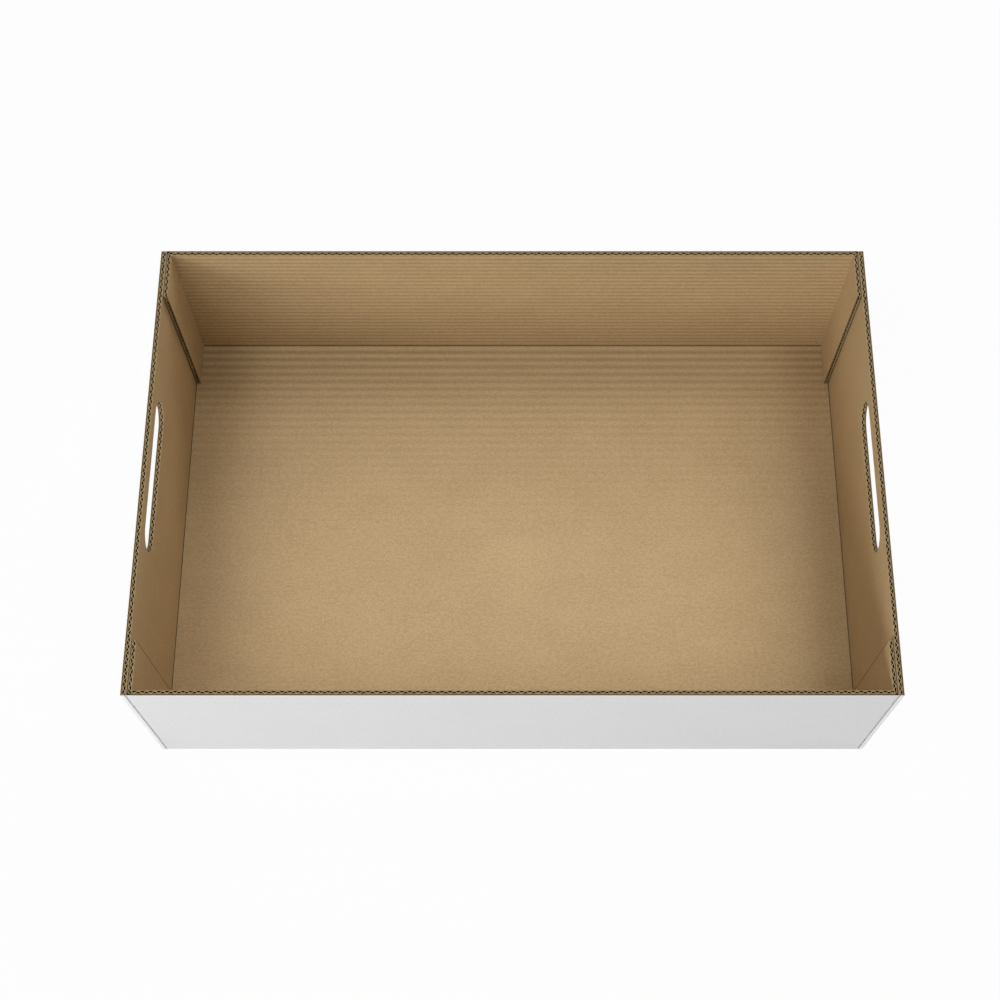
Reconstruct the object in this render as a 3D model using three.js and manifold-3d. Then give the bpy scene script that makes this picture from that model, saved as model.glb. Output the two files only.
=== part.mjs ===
// Open corrugated tray with a hand hole in each end wall, folded and glued from one die-cut sheet of
// double-wall board. Millimetres, +Z up, +X along the long side, -Y towards the front. The origin is
// the centre of the underside.
import * as THREE from "three";
import { mergeGeometries, mergeVertices } from "three/addons/utils/BufferGeometryUtils.js";
import Module from "manifold-3d";

// Outside of the folded tray.
const trayLength = 600;
const trayWidth = 392;
const trayHeight = 168.5;

// Layers of the double-wall board, from the inside of the tray outwards.
const innerLiner = 0.4;
const coarseFlute = 2.1;
const middleLiner = 0.35;
const fineFlute = 0.9;
const outerLiner = 0.35;
const board = innerLiner + coarseFlute + middleLiner + fineFlute + outerLiner;

// The coarse flute: zigzag paper whose channels are open at every cut edge. The fine flute beside
// the outer liner is solid.
const flutePitch = 6.22;
const flutePaper = 0.3;
const rimChannelDepth = 9;
const tabRimChannelDepth = 2.5;
const tabEndChannelDepth = 14;
const channelMargin = 1.2;

// Folds, and the four glue tabs behind the end walls.
const foldRadius = 1.6;
const tabReach = 44.5;
const tabClearance = 1;
const glueGap = 0.3;
const glueInset = 6;

// Hand hole through each end wall.
const handHoleLength = 133;
const handHoleHeight = 31.6;
const handHoleBelowRim = 15;

const foldSegments = 2;
const handHoleSegments = 8;
const cutOvershoot = 1;
const kraftColour = 0xb08c5f;
const kraftRoughness = 0.9;

const alongX = new THREE.Vector3(1, 0, 0);
const alongY = new THREE.Vector3(0, 1, 0);
const alongZ = new THREE.Vector3(0, 0, 1);

// Places that more than one panel uses, measured from the centre or the underside.
const endInside = trayLength / 2 - board;
const sideInside = trayWidth / 2 - board;
const tabOutside = endInside - glueGap;
const tabInside = tabOutside - board;
const tabFold = tabOutside - foldRadius;
const tabEnd = trayWidth / 2 - tabReach;
const tabBottom = board + tabClearance;
const rooting = (board - foldRadius) / 2;

const wasm = await Module();
wasm.setup();

// The solid that a closed geometry bounds.
function solidOf(geometry) {
  const bare = geometry.clone().deleteAttribute("normal").deleteAttribute("uv");
  const merged = mergeVertices(bare, 1e-5);
  const mesh = new wasm.Mesh({
    numProp: 3,
    vertProperties: new Float32Array(merged.attributes.position.array),
    triVerts: new Uint32Array(merged.index.array),
  });
  return new wasm.Manifold(mesh);
}

// A solid as a flat-shaded geometry.
function geometryOf(solid) {
  const mesh = solid.getMesh();
  const geometry = new THREE.BufferGeometry();
  geometry.setAttribute("position", new THREE.BufferAttribute(new Float32Array(mesh.vertProperties), 3));
  geometry.setIndex(new THREE.BufferAttribute(new Uint32Array(mesh.triVerts), 1));
  const flat = geometry.toNonIndexed();
  flat.computeVertexNormals();
  return flat;
}

// A prism: an outline drawn on the axes u and v, extruded from a point along u x v.
function prism(outline, depth, from, u, v, curveSegments = foldSegments) {
  const geometry = new THREE.ExtrudeGeometry(outline, { depth, bevelEnabled: false, curveSegments });
  const w = new THREE.Vector3().crossVectors(u, v);
  return geometry.applyMatrix4(new THREE.Matrix4().makeBasis(u, v, w).setPosition(from));
}

// A box between two corners.
function block(low, high) {
  const size = new THREE.Vector3().subVectors(high, low);
  const centre = new THREE.Vector3().addVectors(low, high).multiplyScalar(0.5);
  return new THREE.BoxGeometry(size.x, size.y, size.z).translate(centre.x, centre.y, centre.z);
}

// The floor panel, which reaches into the folds of the four walls.
function floorPanel() {
  const reachX = endInside + rooting;
  const reachY = sideInside + rooting;
  return block(new THREE.Vector3(-reachX, -reachY, 0), new THREE.Vector3(reachX, reachY, board));
}

// Section of a wall and its fold to the floor: x outwards from the wall's inside face, y upwards.
function wallSection() {
  const section = new THREE.Shape();
  section.moveTo(0, 0);
  section.lineTo(board - foldRadius, 0);
  section.absarc(board - foldRadius, foldRadius, foldRadius, -Math.PI / 2, 0, false);
  section.lineTo(board, trayHeight);
  section.lineTo(0, trayHeight);
  section.closePath();
  return section;
}

// A wall whose inside face stands at a distance from the centre, on the side that outward points to.
function wall(outward, inside, length) {
  const along = new THREE.Vector3().crossVectors(outward, alongZ);
  const from = outward.clone().multiplyScalar(inside).addScaledVector(along, -length / 2);
  return prism(wallSection(), length, from, outward, alongZ);
}

// Plan of a corner: the end of a long wall, the fold at its end, and the glue tab. x and y run from
// the centre of the tray towards the corner.
function tabPlan() {
  const faceY = trayWidth / 2;
  const overlap = tabFold - board;
  const plan = new THREE.Shape();
  plan.moveTo(overlap, sideInside);
  plan.lineTo(tabInside, sideInside);
  plan.lineTo(tabInside, tabEnd);
  plan.lineTo(tabOutside, tabEnd);
  plan.absarc(tabFold, faceY - foldRadius, foldRadius, 0, Math.PI / 2, false);
  plan.lineTo(overlap, faceY);
  plan.closePath();
  return plan;
}

// The glue tab at the corner on the side of signX and signY, with its fold.
function glueTab(signX, signY) {
  const u = alongX.clone().multiplyScalar(signX);
  const v = alongY.clone().multiplyScalar(signY);
  const from = new THREE.Vector3(0, 0, signX * signY > 0 ? tabBottom : trayHeight);
  return prism(tabPlan(), trayHeight - tabBottom, from, u, v);
}

// The glued area between a tab and its end wall, set in from the tab's edges.
function gluePad(signX, signY) {
  const nearX = signX * (tabOutside - rooting);
  const farX = signX * (endInside + rooting);
  const nearY = signY * (tabEnd + glueInset);
  const farY = signY * (sideInside - glueInset);
  return block(
    new THREE.Vector3(Math.min(nearX, farX), Math.min(nearY, farY), tabBottom + glueInset),
    new THREE.Vector3(Math.max(nearX, farX), Math.max(nearY, farY), trayHeight - glueInset),
  );
}

// Outline of a hand hole: a slot with round ends.
function handHoleOutline() {
  const radius = handHoleHeight / 2;
  const half = handHoleLength / 2 - radius;
  const outline = new THREE.Shape();
  outline.moveTo(-half, -radius);
  outline.lineTo(half, -radius);
  outline.absarc(half, 0, radius, -Math.PI / 2, Math.PI / 2, false);
  outline.lineTo(-half, radius);
  outline.absarc(-half, 0, radius, Math.PI / 2, (3 * Math.PI) / 2, false);
  outline.closePath();
  return outline;
}

// The cut of the hand hole through the end wall that outward points to.
function handHoleCut(outward) {
  const along = new THREE.Vector3().crossVectors(alongZ, outward);
  const from = outward.clone().multiplyScalar(endInside - cutOvershoot);
  from.z = trayHeight - handHoleBelowRim - handHoleHeight / 2;
  return prism(handHoleOutline(), board + 2 * cutOvershoot, from, along, alongZ, handHoleSegments);
}

// Outline of one flute channel: the triangle between the zigzag paper and the liner under its base.
// x runs along the edge, and y from the sheet's inside face outwards.
function channelOutline(middle, onInnerLiner) {
  const halfPitch = flutePitch / 2;
  const paperAlong = flutePaper / 2 / Math.sin(Math.atan2(coarseFlute, halfPitch));
  const halfBase = halfPitch - paperAlong;
  const rise = (coarseFlute * halfBase) / halfPitch;
  const base = onInnerLiner ? innerLiner : innerLiner + coarseFlute;
  const tip = onInnerLiner ? base + rise : base - rise;
  const outline = new THREE.Shape();
  outline.moveTo(middle - halfBase, base);
  outline.lineTo(middle + halfBase, base);
  outline.lineTo(middle, tip);
  outline.closePath();
  return outline;
}

// A row of channels that open at a cut edge and run into the board. centre is the middle of the
// edge on the sheet's inside face, and outward points from that face to the outer one.
function channelRow(centre, outward, into, length, depth) {
  const along = new THREE.Vector3().crossVectors(outward, into);
  const from = centre.clone().addScaledVector(into, -cutOvershoot);
  const halfPitch = flutePitch / 2;
  const count = Math.floor((length - 2 * channelMargin) / halfPitch) - 1;
  const channels = [];
  for (let i = 0; i < count; i += 1) {
    const middle = (i - (count - 1) / 2) * halfPitch;
    const outline = channelOutline(middle, i % 2 === 0);
    channels.push(prism(outline, depth + cutOvershoot, from, along, outward));
  }
  return mergeGeometries(channels);
}

// The channels along the rim of a wall.
function rimChannels(outward, inside, length) {
  const centre = outward.clone().multiplyScalar(inside).setZ(trayHeight);
  return channelRow(centre, outward, alongZ.clone().negate(), length, rimChannelDepth);
}

// The channels along the rim of a glue tab, and those down its free end.
function tabChannels(signX, signY) {
  const outward = alongX.clone().multiplyScalar(signX);
  const faceX = signX * tabInside;
  const rim = new THREE.Vector3(faceX, (signY * (tabEnd + sideInside)) / 2, trayHeight);
  const endTop = trayHeight - tabRimChannelDepth;
  const end = new THREE.Vector3(faceX, signY * tabEnd, (tabBottom + endTop) / 2);
  const intoTab = alongY.clone().multiplyScalar(signY);
  const downwards = alongZ.clone().negate();
  return [
    channelRow(rim, outward, downwards, sideInside - tabEnd, tabRimChannelDepth),
    channelRow(end, outward, intoTab, endTop - tabBottom, tabEndChannelDepth),
  ];
}

// The whole sheet, folded and glued.
function foldedTray() {
  const panels = [];
  const cuts = [];
  for (const sign of [-1, 1]) {
    const endwards = alongX.clone().multiplyScalar(sign);
    const sidewards = alongY.clone().multiplyScalar(sign);
    panels.push(wall(sidewards, sideInside, 2 * tabFold));
    panels.push(wall(endwards, endInside, trayWidth));
    cuts.push(rimChannels(sidewards, sideInside, 2 * tabFold));
    cuts.push(rimChannels(endwards, endInside, trayWidth));
    cuts.push(handHoleCut(endwards));
    for (const otherSign of [-1, 1]) {
      panels.push(glueTab(sign, otherSign));
      panels.push(gluePad(sign, otherSign));
      cuts.push(...tabChannels(sign, otherSign));
    }
  }
  let tray = solidOf(floorPanel());
  for (const panel of panels) {
    tray = tray.add(solidOf(panel));
  }
  for (const cut of cuts) {
    tray = tray.subtract(solidOf(cut));
  }
  return tray;
}

const kraft = new THREE.MeshStandardMaterial({
  color: kraftColour,
  roughness: kraftRoughness,
  metalness: 0,
});
const tray = new THREE.Mesh(geometryOf(foldedTray()), kraft);
tray.name = "folded_tray";

const model = new THREE.Group();
model.add(tray);

export default model;
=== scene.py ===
"""Dress the folded corrugated tray: paper liners, flutes at every cut edge, studio light and camera.

All sizes are in metres. +Z is up, +X runs along the long side and -Y towards the front wall.
"""

import logging
import math
from dataclasses import dataclass, field
from enum import Enum, IntEnum
from typing import Callable

import bmesh
import bpy
from bpy.types import ID, Material, Node, NodeSocket, NodeTree, Object
from mathutils import Euler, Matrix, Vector
from mathutils.geometry import tessellate_polygon


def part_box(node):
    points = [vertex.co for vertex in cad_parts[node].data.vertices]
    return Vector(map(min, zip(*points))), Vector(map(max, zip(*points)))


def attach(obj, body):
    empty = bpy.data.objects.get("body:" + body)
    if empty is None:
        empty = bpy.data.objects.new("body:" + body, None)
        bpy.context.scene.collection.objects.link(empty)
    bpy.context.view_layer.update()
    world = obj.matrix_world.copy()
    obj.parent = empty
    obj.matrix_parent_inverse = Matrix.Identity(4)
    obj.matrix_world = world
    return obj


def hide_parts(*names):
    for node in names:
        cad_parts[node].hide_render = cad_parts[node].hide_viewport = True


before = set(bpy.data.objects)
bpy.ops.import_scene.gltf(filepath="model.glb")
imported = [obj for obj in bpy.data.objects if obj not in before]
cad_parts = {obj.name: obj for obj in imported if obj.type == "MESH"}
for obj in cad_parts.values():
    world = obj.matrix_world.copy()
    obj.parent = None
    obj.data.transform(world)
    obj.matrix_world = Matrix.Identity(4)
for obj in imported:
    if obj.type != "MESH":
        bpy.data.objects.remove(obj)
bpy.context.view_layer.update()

LOG = logging.getLogger("corrugated_tray")
NODE = "folded_tray"
BODY = "root"

X_AXIS = Vector((1.0, 0.0, 0.0))
Y_AXIS = Vector((0.0, 1.0, 0.0))
Z_AXIS = Vector((0.0, 0.0, 1.0))

# A face is turned to a direction when its normal has more than this share of it.
TURNED = 0.5

Point2 = tuple[float, float]
Colour = tuple[float, float, float]


class Slot(Enum):
    """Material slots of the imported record."""

    KRAFT = "kraft_board"
    WHITE = "white_liner"


class Side(Enum):
    """The two directions along an axis."""

    LOW = -1.0
    HIGH = 1.0


class Look(IntEnum):
    """What a face of a sheet shows, which is also its finish's place in the piece."""

    FACE = 0
    CUT = 1
    # Hidden sides and faces in the flute channels; their finishes are painted shade.
    INSIDE = 2


LookOf = Callable[[Vector, Vector], Look]


@dataclass(frozen=True)
class Placement:
    """A drawing plane in space: an outline on u and v is extruded along u x v."""

    origin: Vector
    u: Vector
    v: Vector

    def at(self, a: float, b: float, c: float = 0.0) -> Vector:
        """Point at distances a, b and c along u, v and their cross product."""
        return self.origin + self.u * a + self.v * b + self.u.cross(self.v) * c


@dataclass(frozen=True)
class Board:
    """Layers of the double-wall board, from the inside of the tray outwards."""

    inner_liner: float = 0.0004
    coarse_flute: float = 0.0021
    middle_liner: float = 0.00035
    fine_flute: float = 0.0009
    outer_liner: float = 0.00035
    flute_reach: float = 0.0065

    @property
    def middle_face(self) -> float:
        """Distance from the inside face to the near side of the middle liner."""
        return self.inner_liner + self.coarse_flute

    @property
    def fine_face(self) -> float:
        """Distance from the inside face to the near side of the fine flute."""
        return self.middle_face + self.middle_liner

    @property
    def thickness(self) -> float:
        """Thickness of the whole board."""
        return self.fine_face + self.fine_flute + self.outer_liner

    @property
    def middle(self) -> float:
        """Thickness of what lies between the inner and the outer liner."""
        return self.thickness - self.inner_liner - self.outer_liner


@dataclass(frozen=True)
class TrayForm:
    """Places of the folded tray, worked out from the CAD box and the board."""

    length: float
    width: float
    height: float
    board: Board = field(default_factory=Board)
    fold_radius: float = 0.0016
    corner_radius: float = 0.0008
    tab_reach: float = 0.0445
    tab_clearance: float = 0.0002
    glue_gap: float = 0.0003
    hole_length: float = 0.133
    hole_height: float = 0.0316
    hole_below_rim: float = 0.015

    @property
    def end_inside(self) -> float:
        """Inside face of an end wall."""
        return self.length / 2 - self.board.thickness

    @property
    def end_half(self) -> float:
        """Half the width of an end wall without the covers of its two ends."""
        return self.width / 2 - self.board.outer_liner

    @property
    def side_inside(self) -> float:
        """Inside face of a long wall."""
        return self.width / 2 - self.board.thickness

    @property
    def tab_outside(self) -> float:
        """Glued face of a tab."""
        return self.end_inside - self.glue_gap

    @property
    def tab_inside(self) -> float:
        """Inside face of a tab."""
        return self.tab_outside - self.board.thickness

    @property
    def tab_fold(self) -> float:
        """Where a long wall ends and the fold to its tab starts."""
        return self.tab_outside - self.corner_radius

    @property
    def tab_end(self) -> float:
        """Free end of a tab."""
        return self.width / 2 - self.tab_reach

    @property
    def tab_bottom(self) -> float:
        """Lower edge of a tab."""
        return self.board.thickness + self.tab_clearance

    @property
    def tab_height(self) -> float:
        """Height of a tab from its lower edge to the rim."""
        return self.height - self.tab_bottom

    @property
    def hole_middle(self) -> float:
        """Height of the middle of a hand hole."""
        return self.height - self.hole_below_rim - self.hole_height / 2

    @property
    def flute_floor(self) -> float:
        """Height that the open flutes of the rim reach down to."""
        return self.height - self.board.flute_reach

    @property
    def tab_plan(self) -> Placement:
        """The plane at the tabs' lower edges, seen from above."""
        return Placement(Z_AXIS * self.tab_bottom, X_AXIS, Y_AXIS)

    def long_wall_section(self, side: Side) -> Placement:
        """The plane across the end of a long wall: u runs out from its inside face, and v up."""
        outward = Y_AXIS * side.value
        return Placement(outward * self.side_inside - outward.cross(Z_AXIS) * self.tab_fold, outward, Z_AXIS)


def box_outline(low: Point2, high: Point2) -> list[Point2]:
    """Corners of a rectangle between two corners, anticlockwise.

    Args:
        low: One corner.
        high: The opposite corner.

    Returns:
        The four corners.
    """
    (left, right), (bottom, top) = sorted((low[0], high[0])), sorted((low[1], high[1]))
    return [(left, bottom), (right, bottom), (right, top), (left, top)]


def arc(centre: Point2, radius: float, start: float, end: float, steps: int = 8) -> list[Point2]:
    """Points along an arc, both ends included.

    Args:
        centre: The arc's centre.
        radius: Its radius.
        start: The start angle, in quarter turns.
        end: The end angle, in quarter turns.
        steps: How many chords the arc has.

    Returns:
        The points, from start to end.
    """
    angles = [math.pi / 2 * (start + (end - start) * i / steps) for i in range(steps + 1)]
    return [(centre[0] + radius * math.cos(a), centre[1] + radius * math.sin(a)) for a in angles]


def slot_outline(form: TrayForm, grow: float = 0.0, steps: int = 32) -> list[Point2]:
    """Outline of a hand hole, a slot with round ends, centred on the origin.

    Args:
        form: The tray's places.
        grow: How far the outline is pushed out all round.
        steps: How many chords each round end has.

    Returns:
        The points, anticlockwise.
    """
    radius = form.hole_height / 2 + grow
    reach = (form.hole_length - form.hole_height) / 2
    return arc((reach, 0.0), radius, -1, 1, steps) + arc((-reach, 0.0), radius, 1, 3, steps)


def turned(normal: Vector, direction: Vector) -> bool:
    """Whether a face is turned to a direction or straight away from it."""
    return abs(normal.dot(direction)) > TURNED


def looks(seen: Vector) -> LookOf:
    """Tell a flat sheet's seen side, its hidden side and its cut edges apart.

    Args:
        seen: The direction that the seen side faces.

    Returns:
        A function that gives a face's look from its normal and centre.
    """
    def look(normal: Vector, centre: Vector) -> Look:
        """The look of one face."""
        side = Look.FACE if normal.dot(seen) > 0 else Look.INSIDE
        return side if turned(normal, seen) else Look.CUT

    return look


def always(kind: Look) -> LookOf:
    """Give every face one look."""
    return lambda normal, centre: kind


def dark_sides(normal: Vector, centre: Vector) -> Look:
    """Look of a layer at an end wall whose two sides carry painted shade and whose edges are cut."""
    return Look.INSIDE if turned(normal, X_AXIS) else Look.CUT


def in_scene(name: str, data: ID) -> Object:
    """Put a mesh, a lamp or a camera into the scene.

    Args:
        name: The object's name.
        data: What it holds.

    Returns:
        The object, at the origin.
    """
    made = bpy.data.objects.new(name, data)
    bpy.context.scene.collection.objects.link(made)
    return made


class Sketch:
    """Collects closed bodies into one mesh object whose faces carry three finishes."""

    def __init__(self, name: str, finishes: list[Material]) -> None:
        """Start an empty mesh.

        Args:
            name: The piece's name.
            finishes: The finishes of the seen side, the cut edges and the hidden side.
        """
        self.name = name
        self.finishes = finishes
        self.bm = bmesh.new()
        # Per-vertex painted shade of the flute waves, which the kraft finish reads.
        self.rib_shade = self.bm.verts.layers.float.new("rib_shade")

    def prism(self, outline: list[Point2], place: Placement, depth: float, look: LookOf,
              hole: list[Point2] | None = None) -> None:
        """Add a prism, with a hole through it if one is given.

        Args:
            outline: The outline on the placement's u and v.
            place: Where the outline is drawn.
            depth: How far it is extruded.
            look: Gives a face's look from its normal and centre.
            hole: The outline of a hole.
        """
        loops = [outline] + ([hole] if hole else [])
        made, near_all, far_all = [], [], []
        for loop in loops:
            near = [self.bm.verts.new(place.at(a, b)) for a, b in loop]
            far = [self.bm.verts.new(place.at(a, b, depth)) for a, b in loop]
            near_all += near
            far_all += far
            for i, j in zip(range(len(loop)), [*range(1, len(loop)), 0]):
                made.append(self.bm.faces.new([near[i], near[j], far[j], far[i]]))
        for i, j, k in tessellate_polygon([[Vector((a, b, 0.0)) for a, b in loop] for loop in loops]):
            made.append(self.bm.faces.new([near_all[k], near_all[j], near_all[i]]))
            made.append(self.bm.faces.new([far_all[i], far_all[j], far_all[k]]))
        bmesh.ops.recalc_face_normals(self.bm, faces=made)
        for face in made:
            face.material_index = look(face.normal, face.calc_center_median())

    def sheet(self, place: Placement, size: Point2, cells: tuple[int, int], thickness: float,
              waves: "Washboard") -> None:
        """Add a closed sheet whose face on the side of u x v has shallow waves.

        Args:
            place: The sheet's face, with its origin at one corner.
            size: Its size along u and v.
            cells: How many cells it has along u and v.
            thickness: How thick it is.
            waves: The waves, which run along u.
        """
        count_u, count_v = cells
        grid = []
        for j in range(count_v + 1):
            row = []
            for i in range(count_u + 1):
                a, b = size[0] * i / count_u, size[1] * j / count_v
                dip, shade = waves.at(a, b)
                face = self.bm.verts.new(place.at(a, b, -dip))
                # Painted shade of the wave: darker in its trough, lighter on its crest.
                face[self.rib_shade] = shade
                row.append((face, self.bm.verts.new(place.at(a, b, -thickness))))
            grid.append(row)

        def quad(corners: list[tuple[int, int, int]], kind: Look) -> None:
            """Add a face from grid places: row, column, and 0 for the face or 1 for the back."""
            self.bm.faces.new([grid[j][i][k] for j, i, k in corners]).material_index = kind

        for j in range(count_v):
            for i in range(count_u):
                cell = [(j, i), (j, i + 1), (j + 1, i + 1), (j + 1, i)]
                quad([(*corner, 0) for corner in cell], Look.FACE)
                quad([(*corner, 1) for corner in reversed(cell)], Look.INSIDE)
        for i in range(count_u):
            quad([(0, i + 1, 0), (0, i, 0), (0, i, 1), (0, i + 1, 1)], Look.CUT)
            quad([(count_v, i, 0), (count_v, i + 1, 0), (count_v, i + 1, 1), (count_v, i, 1)], Look.CUT)
        for j in range(count_v):
            quad([(j, 0, 0), (j + 1, 0, 0), (j + 1, 0, 1), (j, 0, 1)], Look.CUT)
            quad([(j + 1, count_u, 0), (j, count_u, 0), (j, count_u, 1), (j + 1, count_u, 1)], Look.CUT)

    def finish(self) -> Object:
        """Turn what was collected into an object in the scene.

        Returns:
            The object, at the origin.
        """
        mesh = bpy.data.meshes.new(self.name)
        self.bm.to_mesh(mesh)
        self.bm.free()
        for finish in self.finishes:
            mesh.materials.append(finish)
        return in_scene(self.name, mesh)


@dataclass(frozen=True)
class Assembly:
    """A piece of the tray, collected in a sketch from what it has at the floor, walls and tabs."""

    form: TrayForm
    sketch: Sketch

    def add_floor(self) -> None:
        """Add what the piece has at the floor."""

    def add_long_wall(self, side: Side) -> None:
        """Add what the piece has at the front or back wall."""

    def add_end_wall(self, end: Side) -> None:
        """Add what the piece has at an end wall."""

    def add_tab(self, end: Side, side: Side) -> None:
        """Add what the piece has at the tab of a long wall that is glued to an end wall."""

    def add_end_layer(self, end: Side, near: float, depth: float, reach: Point2, look: LookOf,
                      grow: float = 0.0) -> None:
        """Add a flat layer of an end wall, with the hand hole through it.

        Args:
            end: Which end wall.
            near: The layer's place in the board, from its inside face.
            depth: How thick it is.
            reach: The heights of its lower and upper edge.
            look: Gives a face's look from its normal and centre.
            grow: How far the hole is pushed out all round.
        """
        form = self.form
        face = X_AXIS * end.value * (form.end_inside + near) + Z_AXIS * form.hole_middle
        low, high = (edge - form.hole_middle for edge in reach)
        outline = box_outline((-form.end_half, low), (form.end_half, high))
        place = Placement(face, Y_AXIS * end.value, Z_AXIS)
        self.sketch.prism(outline, place, depth, look, slot_outline(form, grow))

    def build(self) -> Object:
        """Build and dress the piece.

        Returns:
            The piece.
        """
        self.add_floor()
        for side in Side:
            self.add_long_wall(side)
            self.add_end_wall(side)
            for end in Side:
                self.add_tab(end, side)
        return self.sketch.finish()


class NodeCanvas:
    """Adds and links nodes in a tree."""

    def __init__(self, tree: NodeTree) -> None:
        """Work on a tree whose nodes are cleared first."""
        self.tree = tree
        tree.nodes.clear()

    def node(self, kind: str, inputs: dict | None = None, **settings: object) -> Node:
        """Add a node.

        Args:
            kind: The node's type.
            inputs: A value or an output socket for each input, by name or index.
            settings: Values for the node's own properties.

        Returns:
            The node.
        """
        made = self.tree.nodes.new(kind)
        for name, value in settings.items():
            setattr(made, name, value)
        for key, value in (inputs or {}).items():
            if isinstance(value, NodeSocket):
                self.tree.links.new(value, made.inputs[key])
            else:
                made.inputs[key].default_value = value
        return made

    def math(self, operation: str, *values: NodeSocket | float) -> NodeSocket:
        """Add a maths node and give back its result."""
        return self.node("ShaderNodeMath", dict(enumerate(values)), operation=operation).outputs[0]

    def scaled(self, vector: NodeSocket, factor: NodeSocket) -> NodeSocket:
        """Add a node that multiplies a vector or a colour by a factor."""
        return self.node("ShaderNodeVectorMath", {0: vector, "Scale": factor}, operation="SCALE").outputs[0]


def new_group(name: str, kind: str, inputs: dict[str, tuple[str, object]],
              outputs: dict[str, str]) -> NodeTree:
    """Make an empty node group with named sockets.

    Args:
        name: The group's name.
        kind: The tree type.
        inputs: For each input, its socket type and default value.
        outputs: For each output, its socket type.

    Returns:
        The group.
    """
    tree = bpy.data.node_groups.new(name, kind)
    for label, (socket_type, value) in inputs.items():
        socket = tree.interface.new_socket(name=label, in_out="INPUT", socket_type=socket_type)
        if value is not None:
            socket.default_value = value
    for label, socket_type in outputs.items():
        tree.interface.new_socket(name=label, in_out="OUTPUT", socket_type=socket_type)
    return tree


@dataclass(frozen=True)
class GrainLayer:
    """One noise of the paper grain: its cells as a share of a size, and its part in the tone."""

    size: str
    share: float
    roughness: float
    weight: float


@dataclass(frozen=True)
class PaperGrain:
    """Paper fibres: a tone and a height that vary over the surface."""

    layers: tuple[GrainLayer, ...] = (
        GrainLayer("Fibre Size", 1.0, 0.70, 0.60),
        GrainLayer("Fibre Size", 2.2, 0.60, 0.30),
        GrainLayer("Cloud Size", 1.0, 0.55, 0.10),
    )
    detail: float = 3.0

    def build(self) -> NodeTree:
        """Build the shader group.

        Returns:
            The group, with inputs Vector, Fibre Size, Cloud Size and Stretch.
        """
        number = "NodeSocketFloat"
        inputs = {
            "Vector": ("NodeSocketVector", None),
            "Fibre Size": (number, 0.001),
            "Cloud Size": (number, 0.03),
            "Stretch": (number, 2.5),
        }
        tree = new_group("paper_grain", "ShaderNodeTree", inputs, {"Tone": number, "Height": number})
        canvas = NodeCanvas(tree)
        given = canvas.node("NodeGroupInput").outputs
        squeeze = canvas.math("DIVIDE", 1.0, given["Stretch"])
        shape = canvas.node("ShaderNodeCombineXYZ", {0: squeeze, 1: 1.0, 2: 1.0}).outputs[0]
        laid = canvas.node("ShaderNodeVectorMath", {0: given["Vector"], 1: shape}, operation="MULTIPLY")
        tone, noises = 0.0, []
        for layer in self.layers:
            scale = canvas.math("DIVIDE", 1.0 / layer.share, given[layer.size])
            wanted = {"Vector": laid.outputs[0], "Scale": scale, "Detail": self.detail,
                      "Roughness": layer.roughness}
            noises.append(canvas.node("ShaderNodeTexNoise", wanted).outputs[0])
            tone = canvas.math("MULTIPLY_ADD", noises[-1], layer.weight, tone)
        canvas.node("NodeGroupOutput", {"Tone": tone, "Height": noises[0]})
        return tree


def linear(red: int, green: int, blue: int) -> Colour:
    """Turn a screen colour of 0 to 255 a channel into linear values.

    Args:
        red: The red channel.
        green: The green channel.
        blue: The blue channel.

    Returns:
        The linear colour.
    """
    shares = (red / 255, green / 255, blue / 255)
    return tuple(s / 12.92 if s <= 0.04045 else ((s + 0.055) / 1.055) ** 2.4 for s in shares)


@dataclass(frozen=True)
class PaperFinish:
    """A paper surface with fibres, clouds and a fine tooth."""

    name: str
    dark: Colour
    light: Colour
    roughness: float
    fibre_size: float
    cloud_size: float
    stretch: float
    tooth: float
    # How strongly the painted shade of the flute ridges darkens their troughs and lightens their crests.
    painted_rib_shade: float = 0.0
    tones: Point2 = (0.41, 0.59)
    shine: float = 0.25

    def material(self, grain: NodeTree) -> Material:
        """Build the finish.

        Args:
            grain: The paper grain group.

        Returns:
            The material.
        """
        made = bpy.data.materials.new(self.name)
        made.use_nodes = True
        canvas = NodeCanvas(made.node_tree)
        fibres = canvas.node("ShaderNodeGroup", node_tree=grain)
        place = canvas.node("ShaderNodeTexCoord").outputs["Object"]
        canvas.tree.links.new(place, fibres.inputs["Vector"])
        sizes = {"Fibre Size": self.fibre_size, "Cloud Size": self.cloud_size, "Stretch": self.stretch}
        for label, value in sizes.items():
            fibres.inputs[label].default_value = value
        spread = {"Value": fibres.outputs["Tone"], "From Min": self.tones[0], "From Max": self.tones[1]}
        share = canvas.node("ShaderNodeMapRange", spread).outputs[0]
        tints = {0: share, 6: (*self.dark, 1.0), 7: (*self.light, 1.0)}
        tint = canvas.node("ShaderNodeMix", tints, data_type="RGBA").outputs[2]
        relief = {"Height": fibres.outputs["Height"], "Distance": self.tooth}
        bump = canvas.node("ShaderNodeBump", relief)
        # Painted shade of the flute ridges: the colour is darker in the troughs and lighter on the crests.
        rib_shade = canvas.node("ShaderNodeAttribute", attribute_name="rib_shade").outputs["Fac"]
        shade = canvas.math("MULTIPLY_ADD", rib_shade, -self.painted_rib_shade, 1.0)
        surface = {"Base Color": canvas.scaled(tint, shade), "Roughness": self.roughness,
                   "Normal": bump.outputs[0], "Specular IOR Level": self.shine}
        shader = canvas.node("ShaderNodeBsdfPrincipled", surface)
        canvas.node("ShaderNodeOutputMaterial", {"Surface": shader.outputs[0]})
        return made


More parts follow.
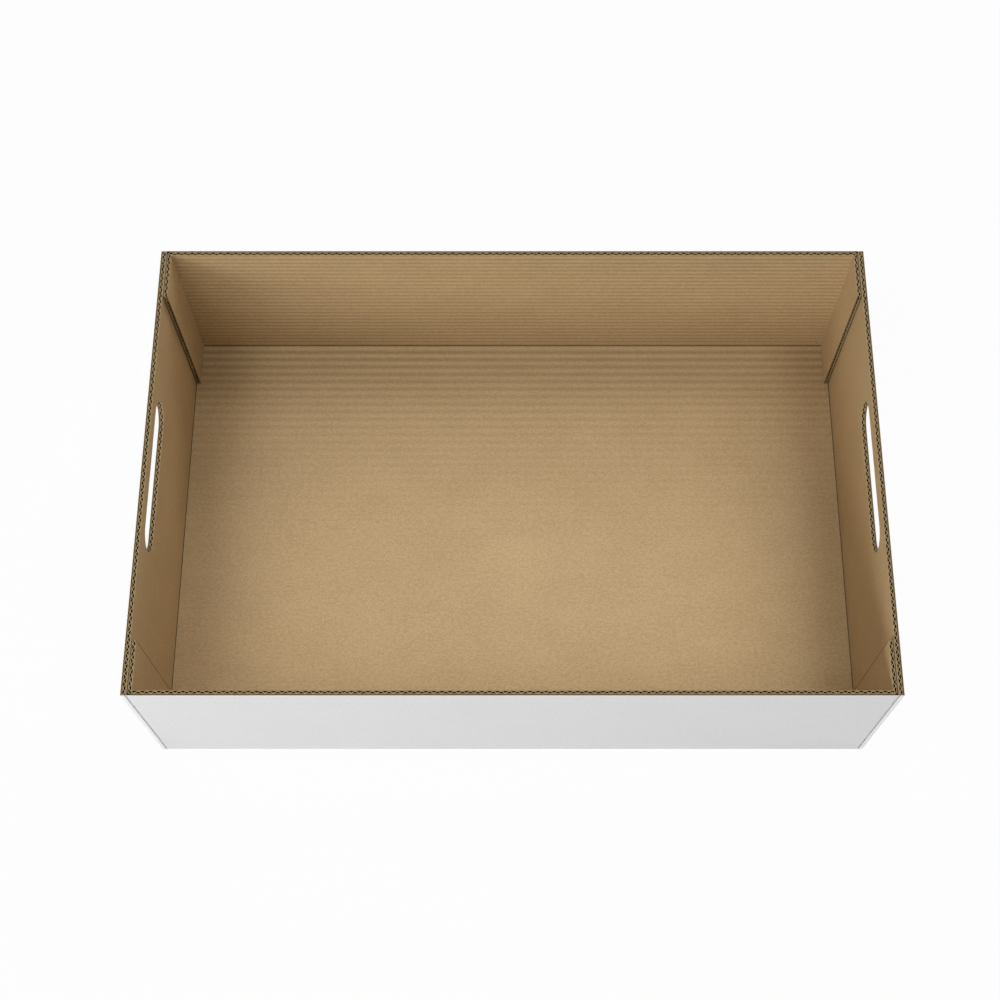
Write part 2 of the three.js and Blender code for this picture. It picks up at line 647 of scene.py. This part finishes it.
@dataclass(frozen=True)
class Finishes:
    """Every finish of the tray."""

    kraft: Material
    white: Material
    bright: Material
    cut: Material
    flute: Material
    seam: Material

    @classmethod
    def build(cls) -> "Finishes":
        """Build all the finishes around one grain group.

        Returns:
            The finishes.
        """
        papers = (
            PaperFinish("kraft_liner", linear(179, 153, 114), linear(200, 174, 133), roughness=0.86,
                        fibre_size=0.0010, cloud_size=0.030, stretch=1.6, tooth=0.00003, painted_rib_shade=0.52),
            PaperFinish("white_top", linear(222, 222, 223), linear(232, 232, 232), roughness=0.62,
                        fibre_size=0.0009, cloud_size=0.045, stretch=1.4, tooth=0.00001),
            # A lighter copy of the white liner for the end-wall covers: a painted highlight.
            PaperFinish("white_painted_highlight", linear(243, 243, 243), linear(247, 247, 247), roughness=0.62,
                        fibre_size=0.0009, cloud_size=0.045, stretch=1.4, tooth=0.00001),
            PaperFinish("cut_paper", linear(180, 154, 112), linear(206, 180, 136), roughness=0.92,
                        fibre_size=0.0006, cloud_size=0.010, stretch=1.0, tooth=0.00002),
            # Near-black paper: painted shade for the deep flute channels, where the real paper is kraft.
            PaperFinish("flute_painted_shade", linear(16, 12, 7), linear(26, 20, 12), roughness=0.95,
                        fibre_size=0.0008, cloud_size=0.012, stretch=1.0, tooth=0.00002),
            # Grey paper for the seam beside the end-wall covers: painted shade.
            PaperFinish("seam_painted_shade", linear(92, 90, 89), linear(108, 106, 105), roughness=0.95,
                        fibre_size=0.0008, cloud_size=0.012, stretch=1.0, tooth=0.00002),
        )
        grain = PaperGrain().build()
        return cls(*(paper.material(grain) for paper in papers))


@dataclass(frozen=True)
class Washboard:
    """Shallow waves where the coarse flute shows through a liner, with painted shade that darkens their
    troughs and lightens their crests, both strongest beside a crease.
    """

    pitch: float
    first_crest: float
    depth: float
    crease: float
    reach: float
    strength: float
    slow_turns: Point2 = (9.0, 21.0)
    quick_turns: Point2 = (31.0, -47.0)
    slow_share: float = 0.06
    quick_share: float = 0.04

    def at(self, along: float, place: float) -> tuple[float, float]:
        """The waves at a place on the sheet.

        Args:
            along: Distance along the flutes.
            place: Distance across them.

        Returns:
            How far the face lies below its plane, and its painted shade, from -0.5 on a crest to 0.5 in a
            trough.
        """
        slow = math.sin(along * self.slow_turns[0] + place * self.slow_turns[1])
        quick = math.sin(along * self.quick_turns[0] + place * self.quick_turns[1])
        wave = 0.5 - 0.5 * math.cos(2 * math.pi * (place - self.first_crest) / self.pitch)
        fade = self.strength * math.exp(-abs(place - self.crease) / self.reach)
        steady = 1.0 - self.slow_share - self.quick_share
        share = fade * (steady + self.slow_share * slow + self.quick_share * quick)
        return self.depth * wave * share, (wave - 0.5) * share


@dataclass(frozen=True)
class InnerLining(Assembly):
    """The kraft liner that faces the inside: the floor, the walls and the glue tabs."""

    # The floor's painted ridge shade is strongest beside the back crease and fades towards the front; on the
    # walls it stays nearly even.
    floor_waves: Washboard = Washboard(pitch=0.00777, first_crest=0.00742, depth=0.00030,
                                       crease=0.3835, reach=0.056, strength=0.94)
    wall_waves: Washboard = Washboard(pitch=0.00622, first_crest=0.00440, depth=0.00035,
                                      crease=0.0, reach=1.5, strength=0.62)
    cells_per_wave: int = 12
    cells_along: int = 24
    crease: float = 0.0003
    end_crease: float = 0.0006
    shaded_strip: float = 0.0007
    sunk: float = 0.000175

    def _add_waved(self, place: Placement, size: Point2, waves: Washboard) -> None:
        """Add a sheet with waves across its v direction."""
        cells = (self.cells_along, round(size[1] / waves.pitch * self.cells_per_wave))
        self.sketch.sheet(place, size, cells, self.form.board.inner_liner, waves)

    def add_floor(self) -> None:
        """Add the floor's top liner, which leaves a narrow crease along the four walls."""
        form = self.form
        half = (form.end_inside - self.end_crease, form.side_inside - self.crease)
        corner = Vector((-half[0], -half[1], form.board.thickness))
        size = (2 * half[0], 2 * half[1])
        self._add_waved(Placement(corner, X_AXIS, Y_AXIS), size, self.floor_waves)

    def add_long_wall(self, side: Side) -> None:
        """Add the inner liner of the front or back wall.

        Args:
            side: Which long wall.
        """
        form = self.form
        start = -side.value * form.tab_inside
        corner = Vector((start, side.value * form.side_inside, form.board.thickness))
        size = (2 * form.tab_inside, form.height - form.board.thickness)
        self._add_waved(Placement(corner, X_AXIS * side.value, Z_AXIS), size, self.wall_waves)

    def add_end_wall(self, end: Side) -> None:
        """Add the inner liner of an end wall, with its hand hole.

        Args:
            end: Which end wall.
        """
        board = self.form.board
        reach = (board.thickness - board.inner_liner, self.form.height)
        self.add_end_layer(end, 0.0, board.inner_liner, reach, looks(X_AXIS * -end.value))

    def add_tab(self, end: Side, side: Side) -> None:
        """Add the inner liner of one glue tab, with a narrow sunk strip along its free end that carries
        painted shade.

        Args:
            end: The end wall that the tab is glued to.
            side: The long wall that it belongs to.
        """
        form = self.form
        face = form.tab_inside * end.value
        back = face + form.board.inner_liner * end.value
        free = (form.tab_end + self.shaded_strip) * side.value
        folded = (form.side_inside + form.board.inner_liner) * side.value
        flat = box_outline((face, free), (back, folded))
        self.sketch.prism(flat, form.tab_plan, form.tab_height, looks(X_AXIS * -end.value))
        # The narrow strip at the free end shows near black on its face: a painted shadow line where the tab
        # ends.
        edge = box_outline((face + self.sunk * end.value, form.tab_end * side.value), (back, free))
        self.sketch.prism(edge, form.tab_plan, form.tab_height, dark_sides)


@dataclass(frozen=True)
class OuterSkin(Assembly):
    """The white-top liner: the underside, the outer faces and the folds."""

    foot_lift: float = 0.0006

    def _fold_ring(self, high: float) -> list[Point2]:
        """Section of the skin of a wall from its fold up to a height: x outwards, y up.

        Args:
            high: The height. Up to the fold's radius, only the fold is drawn.

        Returns:
            The outline.
        """
        board, radius = self.form.board, self.form.fold_radius
        centre = (board.thickness - radius, radius)
        outside = arc(centre, radius, -1, 0)
        inside = arc(centre, radius - board.outer_liner, 0, -1)
        if high <= radius:
            return outside + inside
        rim = [(board.thickness, high), (board.thickness - board.outer_liner, high)]
        return outside + rim + inside

    def _folded(self, outward: Vector) -> LookOf:
        """Tell the looks of a wall's skin apart, with its fold and its rim.

        Args:
            outward: The direction that the wall faces.

        Returns:
            A function that gives a face's look from its normal and centre.
        """
        flat = looks((outward - Z_AXIS) * math.sqrt(0.5))
        rim = self.form.height / 2
        return lambda normal, centre: (Look.CUT if normal.z > TURNED and centre.z > rim
                                       else flat(normal, centre))

    def add_long_wall(self, side: Side) -> None:
        """Add the skin of the front or back wall.

        Args:
            side: Which long wall.
        """
        form = self.form
        place = form.long_wall_section(side)
        self.sketch.prism(self._fold_ring(form.height), place, 2 * form.tab_fold, self._folded(place.u))

    def add_tab(self, end: Side, side: Side) -> None:
        """Add the skin round the fold at a long wall's end and behind the glue tab, and its foot.

        Args:
            end: The end wall that the tab is glued to.
            side: The long wall that it belongs to.
        """
        form = self.form
        liner, radius = form.board.outer_liner, form.corner_radius
        centre = (form.tab_fold, form.width / 2 - radius)
        bend = arc(centre, radius, 0, 1)
        ring = [(form.tab_outside, form.tab_end), *bend, *arc(centre, radius - liner, 1, 0),
                (form.tab_outside - liner, form.tab_end)]
        mirrored = [(a * end.value, b * side.value) for a, b in ring]
        if end is not side:
            mirrored.reverse()
        flat = looks((X_AXIS * end.value + Y_AXIS * side.value) * math.sqrt(0.5))
        free = form.tab_end * side.value

        def look(normal: Vector, centre: Vector) -> Look:
            """The free end is cut, like the rim and the lower edge."""
            return Look.CUT if abs(centre.y - free) < liner / 2 else flat(normal, centre)

        self.sketch.prism(mirrored, form.tab_plan, form.tab_height, look)
        wedge = [(form.tab_fold, form.width / 2 - (radius - liner)), *bend]
        foot = [(a * end.value, b * side.value) for a, b in wedge]
        place = Placement(Z_AXIS * self.foot_lift, X_AXIS, Y_AXIS)
        self.sketch.prism(foot, place, form.tab_bottom - self.foot_lift, always(Look.FACE))

    def add_end_wall(self, end: Side) -> None:
        """Add the skin of an end wall with its hand hole and its fold.

        Args:
            end: Which end wall.
        """
        form = self.form
        liner, radius = form.board.outer_liner, form.fold_radius
        outward = X_AXIS * end.value
        origin = outward * form.end_inside - outward.cross(Z_AXIS) * form.end_half
        fold = Placement(origin, outward, Z_AXIS)
        self.sketch.prism(self._fold_ring(radius), fold, 2 * form.end_half, self._folded(outward))
        reach = (radius, form.height)
        self.add_end_layer(end, form.board.thickness - liner, liner, reach, looks(outward))

    def add_floor(self) -> None:
        """Add the skin under the floor."""
        form = self.form
        reach = (form.length / 2 - form.fold_radius, form.width / 2 - form.fold_radius)
        outline = box_outline((-reach[0], -reach[1]), reach)
        place = Placement(Vector(), X_AXIS, Y_AXIS)
        self.sketch.prism(outline, place, form.board.outer_liner, looks(-Z_AXIS))


@dataclass(frozen=True)
class WallEnds(Assembly):
    """The covers of the end walls' cut ends, in a lighter white that is a painted highlight, beside the seam
    painted grey as shade, with a fine line in it.
    """

    lip: float = 0.0001
    seam: float = 0.0008
    seam_depth: float = 0.00012
    line_place: float = 0.0015
    line_width: float = 0.0003
    line_depth: float = 0.00008

    def _section(self, near: float, far: float) -> list[Point2]:
        """Section of a wall end between two depths in the board, x outwards and y up.

        Args:
            near: The depth nearest to the inside.
            far: The depth farthest from it.

        Returns:
            The outline, with the fold if it reaches the outer face.
        """
        form = self.form
        thick, radius = form.board.thickness, form.fold_radius
        if far < thick:
            return box_outline((near, 0.0), (far, form.height))
        bend = arc((thick - radius, radius), radius, -1, 0)
        return [(near, 0.0), *bend, (thick, form.height), (near, form.height)]

    def _look(self, normal: Vector, centre: Vector) -> Look:
        """The rim is cut, the seam is painted grey as shade and the rest takes the lighter white.

        Args:
            normal: The face's normal.
            centre: Its middle.

        Returns:
            Its look.
        """
        if normal.z > TURNED and centre.z > self.form.height / 2:
            return Look.CUT
        deep = abs(centre.x) - self.form.end_inside
        # Faces in the seam take the grey painted shade.
        return Look.INSIDE if self.lip < deep < self.seam else Look.FACE

    def add_end_wall(self, end: Side) -> None:
        """Add the covers of both ends of an end wall.

        Args:
            end: Which end wall.
        """
        form = self.form
        cover, thick = form.board.outer_liner, form.board.thickness
        under_line = cover - self.line_depth
        bands = [(-form.glue_gap, self.lip, 0.0, cover),
                 (self.lip, self.seam, 0.0, cover - self.seam_depth),
                 (self.seam, thick, 0.0, under_line),
                 (self.seam, self.line_place, under_line, cover),
                 (self.line_place + self.line_width, thick, under_line, cover)]
        outward = X_AXIS * end.value
        along = outward.cross(Z_AXIS)
        for near, far, low, high in bands:
            for first in (form.end_half + low, -form.end_half - high):
                place = Placement(outward * form.end_inside + along * first, outward, Z_AXIS)
                self.sketch.prism(self._section(near, far), place, high - low, self._look)


@dataclass(frozen=True)
class BoardCore(Assembly):
    """What lies between the two faces of the board: the middle liner, and the closed middle, whose faces in
    the flute channels carry painted shade.
    """

    pressed: float = 0.00025
    pressed_depth: float = 0.0015

    def _section(self) -> list[Point2]:
        """Section of a wall's closed middle: x outwards from the inside face, y up.

        Returns:
            The outline.
        """
        form = self.form
        board, radius = form.board, form.fold_radius
        centre = (board.thickness - radius, radius)
        outer = board.thickness - board.outer_liner
        return [(board.inner_liner, board.outer_liner), *arc(centre, radius - board.outer_liner, -1, 0),
                (outer, form.flute_floor), (board.inner_liner, form.flute_floor)]

    def _band(self) -> list[Point2]:
        """Plan of the middle liner of the back wall and both its tabs.

        Returns:
            The outline.
        """
        form = self.form
        corner, near, far = (form.tab_inside, form.side_inside), form.board.middle_face, form.board.fine_face
        right_out = [(form.tab_inside + far, form.tab_end), *arc(corner, far, 0, 1)]
        right_in = [(form.tab_inside + near, form.tab_end), *arc(corner, near, 0, 1)]
        out = right_out + [(-a, b) for a, b in reversed(right_out)]
        back = right_in + [(-a, b) for a, b in reversed(right_in)]
        return out + back[::-1]

    def _band_look(self, normal: Vector, centre: Vector) -> Look:
        """The middle liner is cut at its rim, its lower edge and its free ends; its sides carry painted
        shade.
        """
        free = turned(normal, Y_AXIS) and abs(centre.y) < self.form.tab_end + self.form.board.middle_liner
        return Look.CUT if turned(normal, Z_AXIS) or free else Look.INSIDE

    def add_floor(self) -> None:
        """Add the closed middle of the floor."""
        form = self.form
        outline = box_outline((-form.end_inside, -form.side_inside), (form.end_inside, form.side_inside))
        place = Placement(Z_AXIS * form.board.outer_liner, X_AXIS, Y_AXIS)
        self.sketch.prism(outline, place, form.board.middle, always(Look.INSIDE))

    def add_long_wall(self, side: Side) -> None:
        """Add the closed middle of a long wall, and the middle liner that shows at its cut edges.

        Args:
            side: Which long wall.
        """
        form = self.form
        place = form.long_wall_section(side)
        self.sketch.prism(self._section(), place, 2 * form.tab_fold, always(Look.INSIDE))
        plan = [(a, b * side.value) for a, b in self._band()]
        self.sketch.prism(plan, form.tab_plan, form.tab_height, self._band_look)

    def add_end_wall(self, end: Side) -> None:
        """Add the closed middle of an end wall, and the middle liner that shows at its cut edges.

        Args:
            end: Which end wall.
        """
        form, board = self.form, self.form.board
        hidden, reach = always(Look.INSIDE), (form.fold_radius, form.flute_floor)
        self.add_end_layer(end, board.inner_liner, board.middle, reach, hidden, board.flute_reach)
        reach = (form.fold_radius, form.height)
        self.add_end_layer(end, board.middle_face, board.middle_liner, reach, dark_sides)

    def add_tab(self, end: Side, side: Side) -> None:
        """Add a tab's closed middle, and the thicker strip of middle liner that shows at its free end.

        Args:
            end: The end wall that the tab is glued to.
            side: The long wall that it belongs to.
        """
        form, board = self.form, self.form.board
        inside = form.tab_inside
        for look, near, far, free, deep in (
                (Look.INSIDE, inside + board.inner_liner, form.tab_outside - board.outer_liner,
                 form.tab_end + board.flute_reach, form.side_inside + board.thickness / 2),
                (Look.CUT, inside + board.middle_face - self.pressed, inside + board.fine_face + self.pressed,
                 form.tab_end, form.tab_end + self.pressed_depth)):
            outline = box_outline((near * end.value, free * side.value), (far * end.value, deep * side.value))
            self.sketch.prism(outline, form.tab_plan, form.flute_floor - form.tab_bottom, always(look))


@dataclass(frozen=True)
class Rail:
    """A line down the middle of a flute layer at a cut edge."""

    points: list[Vector]
    outward: list[Vector]
    into: list[Vector]
    stretch: float = 1.0
    closed: bool = False


def flute_tree(finish: Material, drift_scale: float = 22.0) -> NodeTree:
    """Geometry Nodes that turn rails into waving paper between two liners.

    The rails carry two vectors at each point: outward, across the board, and into, down from the cut
    edge. They also carry stretch, a factor on the pitch. Inputs are Pitch, Height, Reach, Steps, Wander
    and Seed.

    Args:
        finish: The finish of the paper.
        drift_scale: How quickly the waves' places drift along a rail.

    Returns:
        The tree.
    """
    number = "NodeSocketFloat"
    inputs = {
        "Geometry": ("NodeSocketGeometry", None),
        "Pitch": (number, 0.006),
        "Height": (number, 0.002),
        "Reach": (number, 0.006),
        "Steps": ("NodeSocketInt", 12),
        "Wander": (number, 0.5),
        "Seed": ("NodeSocketInt", 1),
    }
    tree = new_group("fluted_paper", "GeometryNodeTree", inputs, {"Geometry": "NodeSocketGeometry"})
    canvas = NodeCanvas(tree)
    given = canvas.node("NodeGroupInput").outputs

    def carried(name: str, data_type: str = "FLOAT_VECTOR") -> NodeSocket:
        """Read one of the values that the rails carry."""
        return canvas.node("GeometryNodeInputNamedAttribute", {"Name": name},
                           data_type=data_type).outputs["Attribute"]

    curve = canvas.node("GeometryNodeMeshToCurve", {0: given["Geometry"]}).outputs[0]
    step = canvas.math("DIVIDE", given["Pitch"], given["Steps"])
    fine = canvas.node("GeometryNodeResampleCurve", {"Curve": curve, "Length": step}, mode="LENGTH")
    run = canvas.node("GeometryNodeSplineParameter").outputs["Length"]
    place = canvas.node("GeometryNodeInputPosition").outputs[0]
    drift = canvas.node("ShaderNodeTexNoise", {"Vector": place, "W": given["Seed"], "Scale": drift_scale,
                                               "Detail": 1.0}, noise_dimensions="4D").outputs[0]
    turns = canvas.math("DIVIDE", run, canvas.math("MULTIPLY", given["Pitch"], carried("stretch", "FLOAT")))
    turns = canvas.math("MULTIPLY_ADD", drift, given["Wander"], turns)
    wave = canvas.math("SINE", canvas.math("MULTIPLY", turns, 2 * math.pi))
    swing = canvas.math("MULTIPLY", canvas.math("DIVIDE", given["Height"], 2.0), wave)
    shift = canvas.scaled(carried("outward"), swing)
    waved = canvas.node("GeometryNodeSetPosition", {"Geometry": fine.outputs[0], "Offset": shift})
    line = canvas.node("GeometryNodeCurveToMesh", {0: waved.outputs[0]})
    down = canvas.scaled(carried("into"), given["Reach"])
    paper = canvas.node("GeometryNodeExtrudeMesh", {"Mesh": line.outputs[0], "Offset": down}, mode="EDGES")
    real = canvas.node("GeometryNodeRealizeInstances", {0: paper.outputs[0]})
    dressed = canvas.node("GeometryNodeSetMaterial", {"Geometry": real.outputs[0], "Material": finish})
    canvas.node("NodeGroupOutput", {0: dressed.outputs[0]})
    return tree


@dataclass(frozen=True)
class FluteLayer:
    """The waving paper of one flute, where the cut edges of the board show it."""

    form: TrayForm
    name: str
    near: float
    gap: float
    pitch: float
    paper: float
    steps: int
    seed: int
    wander: float = 0.9
    recess: float = 0.0001
    tab_recess: float = 0.0020
    end_stretch: float = 1.0

    @property
    def deep(self) -> float:
        """Depth in the board of the flute's middle."""
        return self.near + self.gap / 2

    def _wall_rail(self, side: Side) -> Rail:
        """Rail along the rim of a long wall and both its tabs.

        Args:
            side: Which long wall.

        Returns:
            The rail.
        """
        form, deep = self.form, self.deep
        start = form.tab_end + self.recess
        quarter = arc((0.0, 0.0), 1.0, 0, 1)
        plan = [((form.tab_inside + deep, start), (1.0, 0.0))]
        plan += [((form.tab_inside + deep * a, form.side_inside + deep * b), (a, b)) for a, b in quarter]
        plan += [((-x, y), (-a, b)) for (x, y), (a, b) in reversed(plan)]
        top = form.height - self.recess
        points = [Vector((x, y * side.value, top)) for (x, y), _ in plan]
        outward = [Vector((a, b * side.value, 0.0)) for _, (a, b) in plan]
        return Rail(points, outward, [-Z_AXIS] * len(points))

    def _hole_rail(self, end: Side) -> Rail:
        """Rail round a hand hole.

        Args:
            end: Which end wall.

        Returns:
            The rail.
        """
        form = self.form
        reach = (form.hole_length - form.hole_height) / 2
        x = end.value * (form.end_inside + self.deep)
        points, into = [], []
        for y, z in slot_outline(form, self.recess):
            middle = max(-reach, min(reach, y))
            points.append(Vector((x, y, z + form.hole_middle)))
            into.append(Vector((0.0, y - middle, z)).normalized())
        return Rail(points, [X_AXIS * end.value] * len(points), into, self.end_stretch, closed=True)

    def rails(self) -> list[Rail]:
        """Every rail of the layer.

        Returns:
            The rails of both long walls, the four tab ends, both end walls and both hand holes.
        """
        form = self.form
        top = form.height - self.recess
        made = []
        for side in Side:
            made.append(self._wall_rail(side))
            y = side.value * (form.tab_end + self.tab_recess)
            into = Y_AXIS * side.value * (1 - self.tab_recess / form.board.flute_reach)
            for end in Side:
                x = end.value * (form.tab_inside + self.deep)
                ends = [Vector((x, y, z)) for z in (form.tab_bottom, form.flute_floor)]
                made.append(Rail(ends, [X_AXIS * end.value] * 2, [into] * 2))
        for end in Side:
            x = end.value * (form.end_inside + self.deep)
            ends = [Vector((x, y, top)) for y in (-form.end_half, form.end_half)]
            made.append(Rail(ends, [X_AXIS * end.value] * 2, [-Z_AXIS] * 2, self.end_stretch))
            made.append(self._hole_rail(end))
        return made

    def _rail_object(self) -> Object:
        """Make the rails one mesh of edges that carries their vectors and their stretch.

        Returns:
            The object.
        """
        points, edges, outward, into, stretch = [], [], [], [], []
        for rail in self.rails():
            first, count = len(points), len(rail.points)
            points += rail.points
            outward += rail.outward
            into += rail.into
            stretch += [rail.stretch] * count
            edges += [(first + i, first + i + 1) for i in range(count - 1)]
            if rail.closed:
                edges.append((first + count - 1, first))
        mesh = bpy.data.meshes.new(self.name)
        mesh.from_pydata(points, edges, [])
        for label, vectors in (("outward", outward), ("into", into)):
            data = mesh.attributes.new(label, "FLOAT_VECTOR", "POINT").data
            for i, value in enumerate(vectors):
                data[i].vector = value
        mesh.attributes.new("stretch", "FLOAT", "POINT").data.foreach_set("value", stretch)
        return in_scene(self.name, mesh)

    def build(self, finishes: Finishes, tree: NodeTree) -> Object:
        """Build the layer's paper, whose sides carry near-black painted shade and whose cut edge is light.

        Args:
            finishes: The tray's finishes.
            tree: The Geometry Nodes tree that waves the rails.

        Returns:
            The piece, a plain mesh.
        """
        piece = self._rail_object()
        for finish in (finishes.flute, finishes.cut):
            piece.data.materials.append(finish)
        nodes = piece.modifiers.new("flute", "NODES")
        nodes.node_group = tree
        values = {"Pitch": self.pitch, "Height": self.gap - self.paper, "Reach": self.form.board.flute_reach,
                  "Steps": self.steps, "Wander": self.wander, "Seed": self.seed}
        for item in tree.interface.items_tree:
            if item.item_type == "SOCKET" and item.in_out == "INPUT" and item.name in values:
                nodes[item.identifier] = values[item.name]
        shell = piece.modifiers.new("paper", "SOLIDIFY")
        shell.thickness = self.paper
        shell.offset = 0.0
        shell.material_offset_rim = 1
        graph = bpy.context.evaluated_depsgraph_get()
        mesh = bpy.data.meshes.new_from_object(piece.evaluated_get(graph), depsgraph=graph)
        piece.modifiers.clear()
        piece.data = mesh
        while len(mesh.materials) < 2:
            mesh.materials.append(finishes.cut)
        return piece


@dataclass(frozen=True)
class Softbox:
    """A soft lamp, with or without a grid that narrows its beam."""

    name: str
    place: tuple[float, float, float]
    size: Point2
    power: float
    spread: float = 180.0
    widest_grid: float = 90.0

    def build(self) -> None:
        """Hang the lamp: a plain one looks at the tray's middle, and one with a grid straight down."""
        data = bpy.data.lights.new(self.name, "AREA")
        data.shape = "RECTANGLE"
        data.size, data.size_y = self.size
        data.energy = self.power
        data.spread = math.radians(self.spread)
        lamp = in_scene(self.name, data)
        lamp.location = self.place
        aim = -Vector(self.place) if self.spread > self.widest_grid else -Z_AXIS
        lamp.rotation_euler = aim.to_track_quat("-Z", "Y").to_euler()
        lamp.visible_camera = False


@dataclass(frozen=True)
class Studio:
    """The pale floor, the soft light and the camera."""

    lamps: tuple[Softbox, ...] = (
        Softbox("front_left_low", (-1.5, -2.0, 0.9), (1.0, 0.8), 22.6),
        Softbox("front_low", (-0.3, -2.4, 0.9), (1.2, 0.9), 11.2),
        Softbox("front_left_high", (-0.9, -0.7, 2.2), (0.7, 0.7), 10.4),
        Softbox("back_right", (0.7, 1.7, 1.6), (0.7, 0.7), 10.3),
        Softbox("back_steep", (0.0, 0.9, 2.2), (0.5, 0.5), 5.5),
        Softbox("right_steep", (0.8, 0.0, 2.3), (0.5, 0.5), 6.2),
        Softbox("pool_narrow", (0.0, -0.02, 0.9), (0.46, 0.30), 0.138, 14.0),
        Softbox("pool_wide", (0.0, -0.03, 0.9), (0.36, 0.26), 0.116, 40.0),
        Softbox("right_low", (1.5, 0.0, 0.18), (1.0, 0.24), 4.6),
        Softbox("left_low", (-1.5, 0.0, 0.18), (1.0, 0.24), 2.4),
        Softbox("back_low", (0.0, 1.5, 0.14), (1.4, 0.20), 2.6),
    )
    even_light: float = 0.12
    floor_reach: float = 6.0
    floor_tone: float = 0.80
    floor_glow: float = 0.96
    picture: int = 1000
    focal_pixels: float = 1659.326
    centre_pixel: float = 512.388
    looks_down: float = 67.504
    camera_place: tuple[float, float, float] = (0.0, -0.54327, 1.39757)
    sensor: float = 36.0
    nearest: float = 0.01

    def add_camera(self) -> None:
        """Add the camera at the viewing angle of the photograph."""
        data = bpy.data.cameras.new("camera")
        data.sensor_width = self.sensor
        data.lens = self.sensor * self.focal_pixels / self.picture
        data.shift_x = (self.picture / 2 - self.centre_pixel) / self.picture
        data.clip_start = self.nearest
        camera = in_scene("camera", data)
        camera.location = self.camera_place
        camera.rotation_euler = Euler((math.radians(90 - self.looks_down), 0.0, 0.0))
        bpy.context.scene.camera = camera

    def _seen_straight(self, canvas: NodeCanvas) -> NodeSocket:
        """A factor that is 1 where the camera, a reflection or glass looks at the background.

        Args:
            canvas: The background's nodes.

        Returns:
            The factor.
        """
        path = canvas.node("ShaderNodeLightPath").outputs
        either = canvas.math("MAXIMUM", path["Is Camera Ray"], path["Is Glossy Ray"])
        return canvas.math("MAXIMUM", either, path["Is Transmission Ray"])

    def add_world(self) -> None:
        """Add the white background and the even light that comes from all round."""
        world = bpy.data.worlds.new("world")
        bpy.context.scene.world = world
        world.use_nodes = True
        canvas = NodeCanvas(world.node_tree)
        even, white = (canvas.node("ShaderNodeBackground", {"Color": (1.0, 1.0, 1.0, 1.0), "Strength": s})
                       for s in (self.even_light, 1.0))
        layers = {0: self._seen_straight(canvas), 1: even.outputs[0], 2: white.outputs[0]}
        mixed = canvas.node("ShaderNodeMixShader", layers)
        canvas.node("ShaderNodeOutputWorld", {0: mixed.outputs[0]})

    def add_floor(self) -> None:
        """Add the pale floor, which shows white but keeps a trace of the tray's shadow."""
        material = bpy.data.materials.new("studio_floor")
        material.use_nodes = True
        canvas = NodeCanvas(material.node_tree)
        matt = canvas.node("ShaderNodeBsdfDiffuse", {"Color": (*[self.floor_tone] * 3, 1.0)})
        glow = canvas.node("ShaderNodeEmission", {"Color": (1.0, 1.0, 1.0, 1.0), "Strength": 1.0})
        parts = {0: self.floor_glow, 1: matt.outputs[0], 2: glow.outputs[0]}
        pale = canvas.node("ShaderNodeMixShader", parts)
        layers = {0: self._seen_straight(canvas), 1: matt.outputs[0], 2: pale.outputs[0]}
        mixed = canvas.node("ShaderNodeMixShader", layers)
        canvas.node("ShaderNodeOutputMaterial", {0: mixed.outputs[0]})
        mesh = bpy.data.meshes.new("studio_floor")
        reach = self.floor_reach
        corners = [(a, b, 0.0) for a, b in box_outline((-reach, -reach), (reach, reach))]
        mesh.from_pydata(corners, [], [(0, 1, 2, 3)])
        mesh.materials.append(material)
        floor = in_scene("studio_floor", mesh)

    def build(self) -> None:
        """Build the whole studio."""
        self.add_camera()
        self.add_world()
        self.add_floor()
        for lamp in self.lamps:
            lamp.build()
        bpy.context.scene.view_settings.view_transform = "Standard"


def main() -> None:
    """Build the studio and every piece of the tray, and say which CAD body each rides on."""
    logging.basicConfig(level=logging.INFO, format="%(name)s: %(message)s")
    low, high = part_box(NODE)
    size = high - low
    form = TrayForm(size.x, size.y, size.z)
    board = form.board
    Studio().build()
    finishes = Finishes.build()
    tree = flute_tree(finishes.flute)
    coarse = FluteLayer(form, "coarse_flute", near=board.inner_liner, gap=board.coarse_flute, pitch=0.00618,
                        paper=0.00060, steps=12, seed=11, end_stretch=0.942)
    fine = FluteLayer(form, "fine_flute", near=board.fine_face, gap=board.fine_flute, pitch=0.00328,
                      paper=0.00020, steps=8, seed=23)
    # The third finish of each list is for INSIDE faces: near-black painted shade, and grey painted shade at
    # the seam.
    kraft = [finishes.kraft, finishes.cut, finishes.flute]
    white = [finishes.white, finishes.cut, finishes.flute]
    bright = [finishes.bright, finishes.cut, finishes.seam]
    pieces = [
        (InnerLining(form, Sketch("kraft_lining", kraft)).build(), Slot.KRAFT),
        (OuterSkin(form, Sketch("white_skin", white)).build(), Slot.WHITE),
        (WallEnds(form, Sketch("wall_ends", bright)).build(), Slot.WHITE),
        (BoardCore(form, Sketch("board_core", kraft)).build(), Slot.KRAFT),
        (coarse.build(finishes, tree), Slot.KRAFT),
        (fine.build(finishes, tree), Slot.KRAFT),
    ]
    for piece, slot in pieces:
        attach(piece, BODY)
        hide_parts(NODE)
        LOG.info("%s: %d faces, slot %s", piece.name, len(piece.data.polygons), slot.value)


if __name__ == "__main__":
    main()
